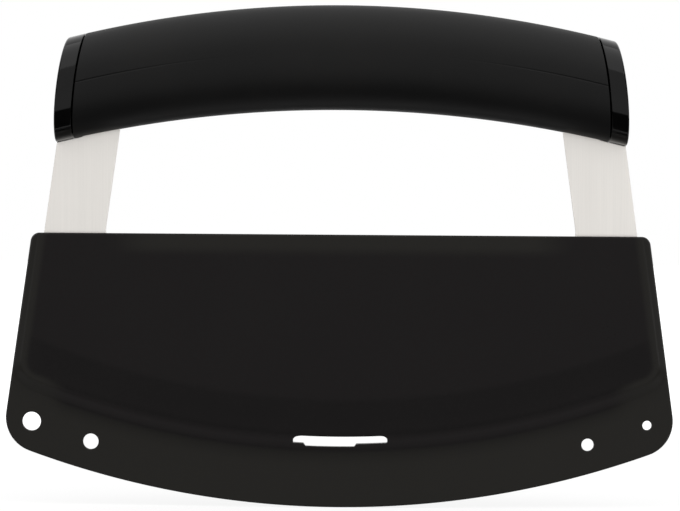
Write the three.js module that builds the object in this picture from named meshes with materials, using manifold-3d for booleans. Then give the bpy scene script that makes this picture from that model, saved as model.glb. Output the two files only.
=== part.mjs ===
import * as THREE from 'three';
import { mergeVertices, toCreasedNormals } from 'three/addons/utils/BufferGeometryUtils.js';
import Module from 'manifold-3d';

// Mezzaluna: a curved chopping blade on two legs under an arched grip, standing in its blade sheath.
// Millimetres. X runs along the blade, the front faces -Y and Z is up. The origin is the lowest point
// of the sheath, on the middle plane of the blade.

// Lean of the sheath's sides and the legs, and of the grip's ends. All spread towards the bottom.
const sideLean = THREE.MathUtils.degToRad(7.75);
const gripEndLean = THREE.MathUtils.degToRad(6.75);

// Clearances
const fitGap = 0.3;
const slidePlay = 0.6;
const endPlay = 0.4;

// Blade sheath: a flat flange with a raised pocket, joined by a sloping band
const mouthWidth = 197.6;
const sheathHeight = 87.2;
const bottomRadius = 290.6;
const bottomCornerRadius = 11.5;
const mouthCornerRadius = 3;
const flangeThickness = 2.4;
const flangeDepth = 18.2;
const pocketRise = 2;
const bandWidth = 4;
const sideBandWidth = 3;
const pocketCornerRadius = 10;

// Blade room inside the sheath
const floorWall = 2.4;
const edgeClearance = 3.5;
const seatLength = 9;
const mouthLeadDepth = 1.2;
const mouthLeadWidth = 0.8;
const ribWidth = 2;
const ribLead = 6;
const ribInset = 11;
const middleRibPitch = 57;

// Herb-stripping holes, placed along the middle of the flange from the sheath's side edges
const leftHoleDiameters = [6, 5];
const rightHoleDiameters = [3, 4];
const firstHoleInset = 8.75;
const holePitch = 20;

// Drain slot along the band at the bottom of the pocket, with a deeper notch
const drainSlotWidth = 30.2;
const drainSlotHeight = 2.4;
const drainSlotLift = 2.1;
const drainSlotOffset = 0.3;
const drainCornerWidth = 2.2;
const drainCornerHeight = 1.8;
const drainNotchWidth = 15.6;
const drainNotchDepth = 0.9;
const drainNotchSlope = 0.7;
const drainNotchOffset = -3;

// Blade: one steel sheet with two legs and a tang on each leg
const bladeThickness = 1.5;
const edgeThickness = 0.1;
const bevelWidth = 10;
const bladeCornerRadius = 5;
const bladeTopDepth = 6.8;
const legInset = 3.9;
const legWidth = 19.55;
const legFilletRadius = 8;
const legSeat = 1.5;
const seatInset = 1.2;
const tangWidth = 9.3;
const tangHeight = 21.5;

// Handle: rigid core, soft sleeve and two end caps
const fingerGap = 39.9;
const gripHeight = 33.5;
const gripDepth = 31;
const gripTopRadius = 354;
const gripUndersideRadius = 384;
const gripRoundness = 2.2;
const partingDepth = 15.9;
const gripEndRadius = 190;
const sleeveWall = 3.5;
const capOverhang = 1.95;
const capThickness = 6.3;
const capGap = 0.4;
const capEdgeRadius = 0.8;
const capCrown = 0.4;

// Fasteners inside the handle
const pinDiameter = 3;
const pinChamfer = 0.4;
const pinSetback = 4.6;
const pinPitch = 8.5;
const pinRecess = 1.2;
const pegDiameter = 5;
const pegLength = 6;
const pegWall = 2.4;

// How far a cut runs past the face that it opens
const overcut = 2;

// Facets, and the rounds in which a curve's crossing point settles
const settleRounds = 8;
const arcDivisions = 7;
const roundSegments = 24;
const bevelRingSegments = 180;
const gripRings = 21;
const sectionPoints = 32;
const creaseAngle = THREE.MathUtils.degToRad(28);

// Places that follow from the driving dimensions. All the curved edges low on the sheath and the blade
// share one centre, straight above the origin.
const arcCentreZ = bottomRadius;
const sheathThickness = flangeThickness + 2 * pocketRise;
const bandFootRadius = bottomRadius - flangeDepth;
const floorRadius = bandFootRadius - floorWall;
const edgeRadius = floorRadius - edgeClearance;
const cavityThickness = bladeThickness + 2 * slidePlay;
const bladeTopZ = sheathHeight - bladeTopDepth;
const bladeHalfWidth = legOuterX(bladeTopZ);
const undersideZ = sheathHeight + fingerGap;
const topZ = undersideZ + gripHeight;
const coreInset = sleeveWall + fitGap;

// The grip's ends are measured where the parting line meets the cap seams
const endAxisZ = topAt(legOuterX(undersideZ) - capThickness) - partingDepth;
const endStation = legOuterX(endAxisZ) + capOverhang;
const seamStation = endStation - capThickness;

const tangInnerX = shoulder(legInnerX)[0];
const tangMiddleX = tangInnerX + tangWidth / 2;
const tangTopZ = undersideAt(tangMiddleX) + tangHeight;
const upperPinZ = tangTopZ - pinSetback;
const lowerPinZ = upperPinZ - pinPitch;
const pinLength = 2 * (halfDepthAt(tangMiddleX, lowerPinZ, coreInset) - pinRecess);
const pegOffset = gripDepth / 2 - coreInset - pegWall - fitGap - pegDiameter / 2;

function sheathSideX(z) {
  return mouthWidth / 2 + Math.tan(sideLean) * (sheathHeight - z);
}

function legOuterX(z) {
  return sheathSideX(z) - legInset;
}

function legInnerX(z) {
  return legOuterX(z) - legWidth;
}

function undersideAt(x) {
  return undersideZ - gripUndersideRadius + Math.sqrt(gripUndersideRadius ** 2 - x ** 2);
}

function topAt(x) {
  return topZ - gripTopRadius + Math.sqrt(gripTopRadius ** 2 - x ** 2);
}

// Point where a leg's edge reaches its seat in the handle, a little above the grip's underside
function shoulder(legEdgeX, grow = 0) {
  let z = undersideZ;
  for (let round = 0; round < settleRounds; round += 1) {
    z = undersideAt(legEdgeX(z)) + legSeat;
  }
  return [legEdgeX(z) + grow, z + Math.abs(grow)];
}

// Solids
const wasm = await Module();
wasm.setup();

function solid(geometry) {
  const bare = geometry.clone();
  bare.deleteAttribute('normal');
  bare.deleteAttribute('uv');
  const merged = mergeVertices(bare);
  const corners = merged.index.array;
  const triVerts = [];
  for (let i = 0; i < corners.length; i += 3) {
    const triangle = corners.slice(i, i + 3);
    if (new Set(triangle).size === 3) {
      triVerts.push(...triangle);
    }
  }
  return new wasm.Manifold(new wasm.Mesh({
    numProp: 3,
    vertProperties: merged.attributes.position.array,
    triVerts: new Uint32Array(triVerts),
  }));
}

function surface(body) {
  const mesh = body.getMesh();
  const geometry = new THREE.BufferGeometry();
  geometry.setAttribute('position', new THREE.BufferAttribute(mesh.vertProperties, 3));
  geometry.setIndex(new THREE.BufferAttribute(mesh.triVerts, 1));
  return geometry;
}

// Stands a flat outline up in the XZ plane, centred on the blade's middle plane
function upright(geometry, thickness) {
  return solid(geometry.translate(0, 0, -thickness / 2).rotateX(Math.PI / 2));
}

function plate(shape, thickness) {
  return upright(new THREE.ExtrudeGeometry(shape, { depth: thickness, bevelEnabled: false }), thickness);
}

function box(width, depth, height, x, y, z) {
  return solid(new THREE.BoxGeometry(width, depth, height).translate(x, y, z));
}

// Rod along Y
function rod(diameter, length, x, z) {
  const geometry = new THREE.CylinderGeometry(diameter / 2, diameter / 2, length, roundSegments);
  return solid(geometry.translate(x, 0, z));
}

// Outlines are drawn as the right-hand half, from the middle of the lower edge to the middle of the top
function mirrored(halfPath) {
  const right = halfPath.getPoints(arcDivisions);
  const left = right.slice(1, -1).map((point) => new THREE.Vector2(-point.x, point.y));
  return new THREE.Shape([...right, ...left.reverse()]);
}

// Curved lower edge and the rounded corner below a side that reaches (sideX, sideZ)
function lowerEdge(sideX, sideZ, lean, radius, cornerRadius) {
  const reach = sideX * Math.cos(lean) + (sideZ - arcCentreZ) * Math.sin(lean) - cornerRadius;
  const drop = Math.sqrt((radius - cornerRadius) ** 2 - reach ** 2);
  const cornerX = reach * Math.cos(lean) + drop * Math.sin(lean);
  const cornerZ = arcCentreZ + reach * Math.sin(lean) - drop * Math.cos(lean);
  const turn = Math.atan2(cornerZ - arcCentreZ, cornerX);
  const path = new THREE.Path();
  path.absarc(0, arcCentreZ, radius, -Math.PI / 2, turn);
  path.absarc(cornerX, cornerZ, cornerRadius, turn, lean);
  return path;
}

function crescent({ sideX, sideZ, lean, radius, cornerRadius, topCornerRadius = overcut / 2 }) {
  const path = lowerEdge(sideX, sideZ, lean, radius, cornerRadius);
  const cornerX = sideX + topCornerRadius * (Math.sin(lean) - 1) / Math.cos(lean);
  path.absarc(cornerX, sideZ - topCornerRadius, topCornerRadius, lean, Math.PI / 2);
  path.lineTo(0, sideZ);
  return mirrored(path);
}

// Blade sheath
function raisedPocket() {
  const pastMouth = sheathHeight + 2 * pocketCornerRadius;
  const outline = crescent({
    sideX: sheathSideX(pastMouth) + bandWidth - sideBandWidth,
    sideZ: pastMouth,
    lean: sideLean,
    radius: bandFootRadius,
    cornerRadius: pocketCornerRadius,
    topCornerRadius: pocketCornerRadius,
  });
  const geometry = new THREE.ExtrudeGeometry(outline, {
    depth: flangeThickness,
    bevelThickness: pocketRise,
    bevelSize: bandWidth,
    bevelOffset: -bandWidth,
    bevelSegments: 1,
  });
  return upright(geometry, flangeThickness);
}

// Ribs on both inner faces that steady the blade
function bladeRibs() {
  const ribTopZ = sheathHeight - ribLead;
  const across = [bladeHalfWidth - ribInset, middleRibPitch / 2].flatMap((x) => [-x, x]);
  const ribY = (cavityThickness + bladeThickness) / 4 + fitGap / 2;
  const ribDepth = slidePlay - fitGap;
  return across.flatMap((x) => [-ribY, ribY].map((y) => box(ribWidth, ribDepth, ribTopZ, x, y, ribTopZ / 2)));
}

function bladeRoom() {
  const openTop = { sideZ: sheathHeight + overcut, lean: 0 };
  const seat = crescent({
    ...openTop,
    sideX: bladeHalfWidth + endPlay,
    radius: edgeRadius + fitGap,
    cornerRadius: bladeCornerRadius + fitGap,
  });
  const floor = crescent({
    ...openTop,
    sideX: bladeHalfWidth - seatLength,
    radius: floorRadius,
    cornerRadius: bladeCornerRadius,
  });
  const room = plate(seat, cavityThickness).add(plate(floor, cavityThickness));
  return bladeRibs().reduce((body, rib) => body.subtract(rib), room).add(mouthLead());
}

// Flared mouth that guides the blade in
function mouthLead() {
  const halfCavity = cavityThickness / 2;
  const section = new THREE.Shape([
    new THREE.Vector2(-halfCavity, sheathHeight - mouthLeadDepth),
    new THREE.Vector2(halfCavity, sheathHeight - mouthLeadDepth),
    new THREE.Vector2(halfCavity + 2 * mouthLeadWidth, sheathHeight + mouthLeadDepth),
    new THREE.Vector2(-halfCavity - 2 * mouthLeadWidth, sheathHeight + mouthLeadDepth),
  ]);
  const length = 2 * (bladeHalfWidth + endPlay);
  const geometry = new THREE.ExtrudeGeometry(section, { depth: length, bevelEnabled: false });
  return solid(geometry.translate(0, 0, -length / 2).rotateX(Math.PI / 2).rotateZ(Math.PI / 2));
}

function herbHoles() {
  const rowRadius = bottomRadius - flangeDepth / 2;
  const reach = sheathSideX(arcCentreZ) * Math.cos(sideLean);
  const edgeAngle = sideLean - Math.acos(reach / rowRadius);
  const holesOn = (side, diameters) => diameters.map((diameter, i) => {
    const angle = edgeAngle - (firstHoleInset + i * holePitch) / rowRadius;
    const x = side * rowRadius * Math.cos(angle);
    return rod(diameter, 2 * sheathThickness, x, arcCentreZ + rowRadius * Math.sin(angle));
  });
  return [...holesOn(-1, leftHoleDiameters), ...holesOn(1, rightHoleDiameters)];
}

// Both long edges of the slot run along the flange's curve
function drainSlot() {
  const lowRadius = bandFootRadius - drainSlotLift;
  const highRadius = lowRadius - drainSlotHeight;
  const notchRadius = lowRadius + drainNotchDepth;
  const slotLeft = drainSlotOffset - drainSlotWidth / 2;
  const slotRight = drainSlotOffset + drainSlotWidth / 2;
  const notchLeft = drainNotchOffset - drainNotchWidth / 2;
  const notchRight = drainNotchOffset + drainNotchWidth / 2;
  const turnAt = (x, radius) => -Math.acos(x / radius);
  const along = (shape, radius, fromX, toX) => (
    shape.absarc(0, arcCentreZ, radius, turnAt(fromX, radius), turnAt(toX, radius), toX < fromX)
  );
  const heightAt = (x, radius) => arcCentreZ - Math.sqrt(radius ** 2 - x ** 2);
  const outline = new THREE.Shape();
  along(outline, lowRadius, slotLeft, notchLeft - drainNotchSlope);
  along(outline, notchRadius, notchLeft, notchRight);
  along(outline, lowRadius, notchRight + drainNotchSlope, slotRight);
  const [innerRight, innerLeft] = [slotRight - drainCornerWidth, slotLeft + drainCornerWidth];
  outline.lineTo(slotRight, heightAt(slotRight, highRadius + drainCornerHeight));
  outline.quadraticCurveTo(
    slotRight, heightAt(slotRight, highRadius), innerRight, heightAt(innerRight, highRadius),
  );
  along(outline, highRadius, innerRight, innerLeft);
  outline.quadraticCurveTo(
    slotLeft, heightAt(slotLeft, highRadius),
    slotLeft, heightAt(slotLeft, highRadius + drainCornerHeight),
  );
  return plate(new THREE.Shape(outline.getPoints(arcDivisions)), 2 * sheathThickness);
}

function bladeSheath() {
  const outline = crescent({
    sideX: mouthWidth / 2,
    sideZ: sheathHeight,
    lean: sideLean,
    radius: bottomRadius,
    cornerRadius: bottomCornerRadius,
    topCornerRadius: mouthCornerRadius,
  });
  const moulding = plate(outline, flangeThickness)
    .add(raisedPocket())
    .intersect(plate(outline, 2 * sheathThickness));
  const cuts = [bladeRoom(), drainSlot(), ...herbHoles()];
  return cuts.reduce((body, cut) => body.subtract(cut), moulding);
}

// Top of the right leg: its seat under the sleeve, round the tang, inner shoulder
function legTop(grow) {
  const tangOuterX = tangInnerX + tangWidth + grow;
  const seatOuterX = seamStation - seatInset + grow;
  const innerShoulder = shoulder(legInnerX, -grow);
  return [
    [seatOuterX, undersideAt(seatOuterX) + legSeat + grow],
    [tangOuterX, undersideAt(tangOuterX) + legSeat + grow],
    [tangOuterX, tangTopZ + grow],
    [innerShoulder[0], tangTopZ + grow],
    innerShoulder,
  ];
}

// Outer part of the leg's top, which stops just short of the cap
function legButt() {
  const [outerX, seatZ] = shoulder(legOuterX);
  const drop = legSeat + fitGap;
  const innerX = seamStation - seatInset;
  return [[outerX + Math.tan(sideLean) * drop, seatZ - drop], [innerX, undersideAt(innerX) - fitGap]];
}

function bladeOutline() {
  const path = lowerEdge(bladeHalfWidth, bladeTopZ, 0, edgeRadius, bladeCornerRadius);
  path.lineTo(bladeHalfWidth, bladeTopZ);
  legButt().forEach(([x, z]) => path.lineTo(x, z));
  legTop(0).forEach(([x, z]) => path.lineTo(x, z));
  const filletZ = bladeTopZ + legFilletRadius;
  const filletX = legInnerX(filletZ) - legFilletRadius / Math.cos(sideLean);
  path.absarc(filletX, filletZ, legFilletRadius, sideLean, -Math.PI / 2, true);
  path.lineTo(0, bladeTopZ);
  return mirrored(path);
}

// Ring that grinds one face down to the cutting edge
function bevelRing() {
  const slope = (bladeThickness - edgeThickness) / 2 / bevelWidth;
  const profile = [
    new THREE.Vector2(edgeRadius - bevelWidth - overcut, bladeThickness / 2 + overcut * slope),
    new THREE.Vector2(edgeRadius + overcut, edgeThickness / 2 - overcut * slope),
    new THREE.Vector2(edgeRadius + overcut, bladeThickness / 2 + overcut),
  ];
  return new THREE.LatheGeometry([...profile, profile[0]], bevelRingSegments);
}

function pinHoles() {
  const holes = [upperPinZ, lowerPinZ].flatMap((z) => [-tangMiddleX, tangMiddleX].map((x) => (
    rod(pinDiameter + 2 * fitGap, 2 * gripDepth, x, z)
  )));
  return holes.reduce((body, hole) => body.add(hole));
}

function chopperBlade() {
  const rearBevel = solid(bevelRing().translate(0, 0, arcCentreZ));
  const frontBevel = solid(bevelRing().rotateX(Math.PI).translate(0, 0, arcCentreZ));
  return plate(bladeOutline(), bladeThickness)
    .subtract(rearBevel)
    .subtract(frontBevel)
    .subtract(pinHoles());
}

// Handle: the grip's section swells to its widest at the parting line. Its stations are upright in the
// middle and turn into the leaning, rounded end faces.
function swell(value) {
  return Math.sign(value) * Math.abs(value) ** (2 / gripRoundness);
}

function gripPoint(station, angle, inset) {
  const turn = THREE.MathUtils.clamp(station / seamStation, -1, 1);
  let x = station;
  let z = endAxisZ;
  for (let round = 0; round < settleRounds; round += 1) {
    const rise = z - endAxisZ;
    x = station - turn * (Math.tan(gripEndLean) * rise + rise ** 2 / (2 * gripEndRadius));
    const waist = topAt(x) - partingDepth;
    const half = Math.sin(angle) > 0 ? partingDepth : waist - undersideAt(x);
    z = waist + (half - inset) * swell(Math.sin(angle));
  }
  return new THREE.Vector3(x, (gripDepth / 2 - inset) * swell(Math.cos(angle)), z);
}

// Half the section's depth at a height, on an upright station
function halfDepthAt(x, z, inset) {
  const rise = z - (topAt(x) - partingDepth);
  const half = rise > 0 ? partingDepth : topAt(x) - partingDepth - undersideAt(x);
  const share = Math.abs(rise) / (half - inset);
  return (gripDepth / 2 - inset) * (1 - share ** gripRoundness) ** (1 / gripRoundness);
}

function gripRing(station, inset) {
  return Array.from({ length: sectionPoints }, (_, i) => (
    gripPoint(station, 2 * Math.PI * i / sectionPoints, inset)
  ));
}

// Skins rings from -X to +X and closes both ends with level strips between each ring's two sides
function loft(rings) {
  const count = sectionPoints;
  const at = (ring, i) => ring * count + (i + count) % count;
  const triangles = [];
  for (let ring = 0; ring < rings.length - 1; ring += 1) {
    for (let i = 0; i < count; i += 1) {
      const [a, b] = [at(ring, i), at(ring, i + 1)];
      const [c, d] = [at(ring + 1, i + 1), at(ring + 1, i)];
      triangles.push(a, b, d, b, c, d);
    }
  }
  const last = rings.length - 1;
  for (let i = -count / 4; i < count / 4; i += 1) {
    const [near, far] = [count / 2 - i, count / 2 - i - 1];
    triangles.push(at(0, i), at(0, far), at(0, i + 1), at(0, i), at(0, near), at(0, far));
    triangles.push(at(last, i), at(last, i + 1), at(last, far), at(last, i), at(last, far), at(last, near));
  }
  const geometry = new THREE.BufferGeometry().setFromPoints(rings.flat());
  return solid(geometry.setIndex(triangles));
}

function gripLoft(halfLength, inset) {
  return loft(Array.from({ length: gripRings }, (_, i) => (
    gripRing(halfLength * (2 * i / (gripRings - 1) - 1), inset)
  )));
}

// Sockets for the tops of the legs, with room all round
function legSockets() {
  const footZ = undersideAt(endStation) - legSeat;
  const outline = [
    [seamStation - seatInset + fitGap, footZ],
    ...legTop(fitGap),
    [legInnerX(footZ) - fitGap, footZ],
  ];
  const socket = (side) => plate(
    new THREE.Shape(outline.map(([x, z]) => new THREE.Vector2(side * x, z))),
    bladeThickness + 2 * fitGap,
  );
  return socket(-1).add(socket(1));
}

// Rod along the way a cap slides home, from its seam inwards
function capPeg(side, diameter, length, root) {
  const geometry = new THREE.CylinderGeometry(diameter / 2, diameter / 2, length + root, roundSegments);
  geometry.translate(0, (root - length) / 2, 0).rotateZ(-Math.PI / 2).rotateY(-gripEndLean);
  return solid(geometry.translate(seamStation, side * pegOffset, endAxisZ));
}

function gripSleeve() {
  return gripLoft(seamStation, 0)
    .subtract(gripLoft(seamStation + sleeveWall, sleeveWall))
    .subtract(legSockets());
}

function handleCore() {
  const pegHoles = [-1, 1].map((side) => (
    capPeg(side, pegDiameter + 2 * fitGap, pegLength + fitGap, capThickness)
  ));
  const rightHoles = pegHoles[0].add(pegHoles[1]);
  return gripLoft(seamStation, coreInset)
    .subtract(legSockets())
    .subtract(pinHoles())
    .subtract(rightHoles)
    .subtract(rightHoles.mirror([1, 0, 0]));
}

function rightCap() {
  const faceStation = endStation - capCrown;
  const rings = [gripRing(seamStation + capGap, 0)];
  for (const angle of [0, 30, 60, 90].map(THREE.MathUtils.degToRad)) {
    const station = faceStation - capEdgeRadius * (1 - Math.sin(angle));
    rings.push(gripRing(station, capEdgeRadius * (1 - Math.cos(angle))));
  }
  for (const share of [0.35, 0.7]) {
    const inset = capEdgeRadius + share * (gripDepth / 2 - capEdgeRadius);
    rings.push(gripRing(faceStation + capCrown * (1 - (1 - share) ** 2), inset));
  }
  const pegs = [-1, 1].map((side) => capPeg(side, pegDiameter, pegLength, capThickness / 2));
  return loft(rings).add(pegs[0]).add(pegs[1]);
}

function tangPin() {
  const radius = pinDiameter / 2;
  const end = pinLength / 2;
  const profile = [
    new THREE.Vector2(0, -end),
    new THREE.Vector2(radius - pinChamfer, -end),
    new THREE.Vector2(radius, -end + pinChamfer),
    new THREE.Vector2(radius, end - pinChamfer),
    new THREE.Vector2(radius - pinChamfer, end),
    new THREE.Vector2(0, end),
  ];
  return solid(new THREE.LatheGeometry(profile, roundSegments));
}

// Finishes
const finishes = {
  brushedSteel: { color: 0xd2cfca, roughness: 0.42, metalness: 1 },
  sheathPlastic: { color: 0x1c1b1b, roughness: 0.34, metalness: 0 },
  softGrip: { color: 0x171717, roughness: 0.62, metalness: 0 },
  glossPlastic: { color: 0x0c0c0d, roughness: 0.12, metalness: 0 },
  corePlastic: { color: 0x242424, roughness: 0.5, metalness: 0 },
};

function piece(name, body, finish) {
  const geometry = toCreasedNormals(surface(body), creaseAngle);
  const mesh = new THREE.Mesh(geometry, new THREE.MeshStandardMaterial(finishes[finish]));
  mesh.name = name;
  return mesh;
}

const mezzaluna = new THREE.Group();
mezzaluna.add(piece('blade_sheath', bladeSheath(), 'sheathPlastic'));

const chopper = new THREE.Group();
chopper.add(piece('chopper_blade', chopperBlade(), 'brushedSteel'));
chopper.add(piece('handle_core', handleCore(), 'corePlastic'));
chopper.add(piece('grip_sleeve', gripSleeve(), 'softGrip'));
for (const [sideName, side] of [['left', -1], ['right', 1]]) {
  const cap = piece(`${sideName}_end_cap`, rightCap(), 'glossPlastic');
  cap.scale.x = side;
  chopper.add(cap);
  for (const [levelName, z] of [['upper', upperPinZ], ['lower', lowerPinZ]]) {
    const pin = piece(`${sideName}_tang_pin_${levelName}`, tangPin(), 'brushedSteel');
    pin.position.set(side * tangMiddleX, 0, z);
    chopper.add(pin);
  }
}
mezzaluna.add(chopper);

export default mezzaluna;
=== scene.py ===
import math

import bmesh
import bpy
import numpy as np
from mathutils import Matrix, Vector
from mathutils.geometry import delaunay_2d_cdt


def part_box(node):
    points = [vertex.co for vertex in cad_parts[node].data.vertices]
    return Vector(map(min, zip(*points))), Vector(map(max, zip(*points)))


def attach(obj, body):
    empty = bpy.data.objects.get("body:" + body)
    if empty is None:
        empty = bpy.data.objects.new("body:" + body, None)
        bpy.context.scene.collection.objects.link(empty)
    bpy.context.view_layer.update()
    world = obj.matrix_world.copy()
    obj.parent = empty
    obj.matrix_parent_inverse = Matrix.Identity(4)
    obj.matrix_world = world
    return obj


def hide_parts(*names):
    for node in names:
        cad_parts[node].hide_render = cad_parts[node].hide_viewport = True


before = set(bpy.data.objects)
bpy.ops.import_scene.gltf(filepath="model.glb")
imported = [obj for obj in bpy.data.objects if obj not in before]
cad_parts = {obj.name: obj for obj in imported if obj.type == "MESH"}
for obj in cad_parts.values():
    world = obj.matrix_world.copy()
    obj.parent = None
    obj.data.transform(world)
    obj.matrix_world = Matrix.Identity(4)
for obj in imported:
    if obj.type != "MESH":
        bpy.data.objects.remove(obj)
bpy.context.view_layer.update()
mm = 0.001
tiny = 1e-7  # points nearer to each other than this count as one

# what several pieces share: the sheath's sides and the legs lean alike, the low curves have one centre
lean = math.radians(7.75)
gripEndLean = math.radians(6.75)
mouthHalf = 98.8 * mm
arcCentre = 290.6 * mm
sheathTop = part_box("blade_sheath")[1].z
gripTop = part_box("grip_sleeve")[1].z
gripUnderside = sheathTop + 39.9 * mm
legInset = 3.9 * mm
legWidth = 19.55 * mm


def sideX(z):
    return mouthHalf + math.tan(lean) * (sheathTop - z)


def legOuterX(z):
    return sideX(z) - legInset


def legInnerX(z):
    return legOuterX(z) - legWidth


# node trees
class Signal:
    # a socket in a node tree: sums and products of signals add Math nodes
    def __init__(self, tree, socket):
        self.tree = tree
        self.socket = socket

    @classmethod
    def add(cls, tree, kind, settings=None, sockets=None, output=0):
        node = tree.nodes.new(kind)
        for name, value in (settings or {}).items():
            if name == "stops":
                cls.setStops(node.color_ramp, value)
            else:
                setattr(node, name, value)
        for name, value in (sockets or {}).items():
            if isinstance(value, cls):
                tree.links.new(value.socket, node.inputs[name])
            else:
                node.inputs[name].default_value = value
        return cls(tree, node.outputs[output])

    @staticmethod
    def setStops(ramp, stops):
        while len(ramp.elements) < len(stops):
            ramp.elements.new(1)
        for element, (place, colour) in zip(ramp.elements, stops):
            element.position = place
            element.color = colour

    def beside(self, output):
        return Signal(self.tree, self.socket.node.outputs[output])

    def math(self, operation, *others):
        sockets = dict(enumerate((self, *others)))
        return Signal.add(self.tree, "ShaderNodeMath", {"operation": operation}, sockets)

    def reflected(self, operation, other):
        return Signal.add(self.tree, "ShaderNodeMath", {"operation": operation}, {0: other, 1: self})

    def __add__(self, other):
        return self.math("ADD", other)

    def __radd__(self, other):
        return self.reflected("ADD", other)

    def __sub__(self, other):
        return self.math("SUBTRACT", other)

    def __rsub__(self, other):
        return self.reflected("SUBTRACT", other)

    def __mul__(self, other):
        return self.math("MULTIPLY", other)

    def __rmul__(self, other):
        return self.reflected("MULTIPLY", other)

    def __truediv__(self, other):
        return self.math("DIVIDE", other)

    def __rtruediv__(self, other):
        return self.reflected("DIVIDE", other)

    def __pow__(self, other):
        return self.math("POWER", other)

    def __neg__(self):
        return self.reflected("SUBTRACT", 0)

    def __abs__(self):
        return self.math("ABSOLUTE")

    def root(self):
        return self.math("SQRT")

    def atMost(self, other):
        return self.math("MINIMUM", other)

    def atLeast(self, other):
        return self.math("MAXIMUM", other)

    def ease(self, low, high):
        # 0 below low, 1 above high, soft between; low may be the larger
        sockets = {"Value": self, "From Min": low, "From Max": high}
        return Signal.add(self.tree, "ShaderNodeMapRange", {"interpolation_type": "SMOOTHSTEP"}, sockets)


def combine(x, y, z):
    tree = next(part.tree for part in (x, y, z) if isinstance(part, Signal))
    return Signal.add(tree, "ShaderNodeCombineXYZ", None, {0: x, 1: y, 2: z})


def mixTones(share, low, high):
    return Signal.add(share.tree, "ShaderNodeMix", {"data_type": "RGBA"}, {0: share, 6: low, 7: high}, 2)


def tinted(tone, tint=(1, 1, 1)):
    return (tone * tint[0], tone * tint[1], tone * tint[2], 1)


def axesOf(spot):
    x = Signal.add(spot.tree, "ShaderNodeSeparateXYZ", None, {0: spot}, "X")
    return x, x.beside("Y"), x.beside("Z")


def fromCentre(x, z):
    # distance from the centre of the low curves
    up = z - arcCentre
    return (x * x + up * up).root()


# materials
def newMaterial(name):
    material = bpy.data.materials.new(name)
    material.use_nodes = True
    tree = material.node_tree
    tree.nodes.clear()
    return material, tree


def objectSpot(tree):
    return Signal.add(tree, "ShaderNodeTexCoord", output="Object")


def noise(spot, scale, detail=3.0, roughness=0.5):
    sockets = {"Vector": spot, "Scale": scale, "Detail": detail, "Roughness": roughness}
    return Signal.add(spot.tree, "ShaderNodeTexNoise", None, sockets)


def stretched(spot, factors):
    return Signal.add(spot.tree, "ShaderNodeMapping", None, {"Vector": spot, "Scale": factors})


def bump(height, distance, strength):
    sockets = {"Height": height, "Distance": distance, "Strength": strength}
    return Signal.add(height.tree, "ShaderNodeBump", None, sockets)


def plugIn(kind, signal):
    # the tree's last node, which has no outputs
    out = signal.tree.nodes.new(kind)
    signal.tree.links.new(signal.socket, out.inputs[0])


def principled(tree, sockets):
    plugIn("ShaderNodeOutputMaterial", Signal.add(tree, "ShaderNodeBsdfPrincipled", None, sockets))


def mixShaders(share, first, second):
    return Signal.add(share.tree, "ShaderNodeMixShader", None, {0: share, 1: first, 2: second})


# black moulding: thin plastic, with painted light where no steel stands behind it and painted shade over
# the steel
sheathFinish = {
    # painted light: the tone where no steel stands behind the wall; painted shade: the tone over the steel
    "bare": 0.0129,
    "steelShadeTone": 0.0057,
    "bareTint": (1.06, 1, 0.88),
    "steelShadeTint": (1.18, 1, 1.02),
    # millimetres inwards from the band's foot, and the tone there: painted shade into the crease, a painted
    # highlight on the crest, then painted shade of the bevel behind
    "paintedBandTones": [(-5.0, 0.0129), (-2.5, 0.0106), (-1.0, 0.0082), (0.1, 0.0042), (1.2, 0.0078),
                  (2.5, 0.0088), (4.0, 0.0055), (5.0, 0.0029), (6.4, 0.0042), (10.0, 0.0037)],
    # painted shade over the steel; painted light beyond it and in strips along the sides
    # each pair says where a tone begins to show and where it has taken over
    "steelShadeReach": (257.4 * mm, 255.2 * mm),
    "backlitWindowAcross": (76 * mm, 60 * mm),
    "backlitWindowRise": (79.6 * mm, 83.8 * mm),
    "litStripGap": (6.6 * mm, 4.4 * mm),
    "litStripAcross": (86 * mm, 95 * mm),
    "litStripShare": 0.9,
    "flangeGap": (4 * mm, 0),
    "cloudScale": 26.0,
    "speckScale": 900.0,
    "rubbed": (0.4, 0.8),
    "rubShare": 0.22,
    "specular": 0.09,
    "faceRoughness": 0.30,
    "flangeRoughness": 0.42,
    "cloudRoughness": 0.10,
    "speckRoughness": 0.05,
    "grainScale": 5200.0,
    "grainHeight": 0.012 * mm,
    "grainStrength": 0.35,
}


def bandGap(across, z, radius):
    # distance inwards from the foot of the pocket's band
    s = sheathSizes
    footRadius = arcCentre - s["flangeDepth"]
    sideOut = s["bandWidth"] - s["sideBand"]
    corner = s["pocketCorner"]
    cornerX, cornerZ = cornerCentre(mouthHalf + sideOut, sheathTop, lean, footRadius, corner)
    right, up = across - cornerX, z - cornerZ
    belowSide = (right * math.sin(lean) - up * math.cos(lean)).math("GREATER_THAN", 0.0)
    pastArc = (cornerX * (z - arcCentre) - (cornerZ - arcCentre) * across).math("GREATER_THAN", 0.0)
    inCorner = belowSide * pastArc
    fromSide = (sideX(z) + sideOut - across) * math.cos(lean)
    fromCorner = corner - (right * right + up * up).root()
    return inCorner * fromCorner + (1 - inCorner) * fromSide.atMost(footRadius - radius)


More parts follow.
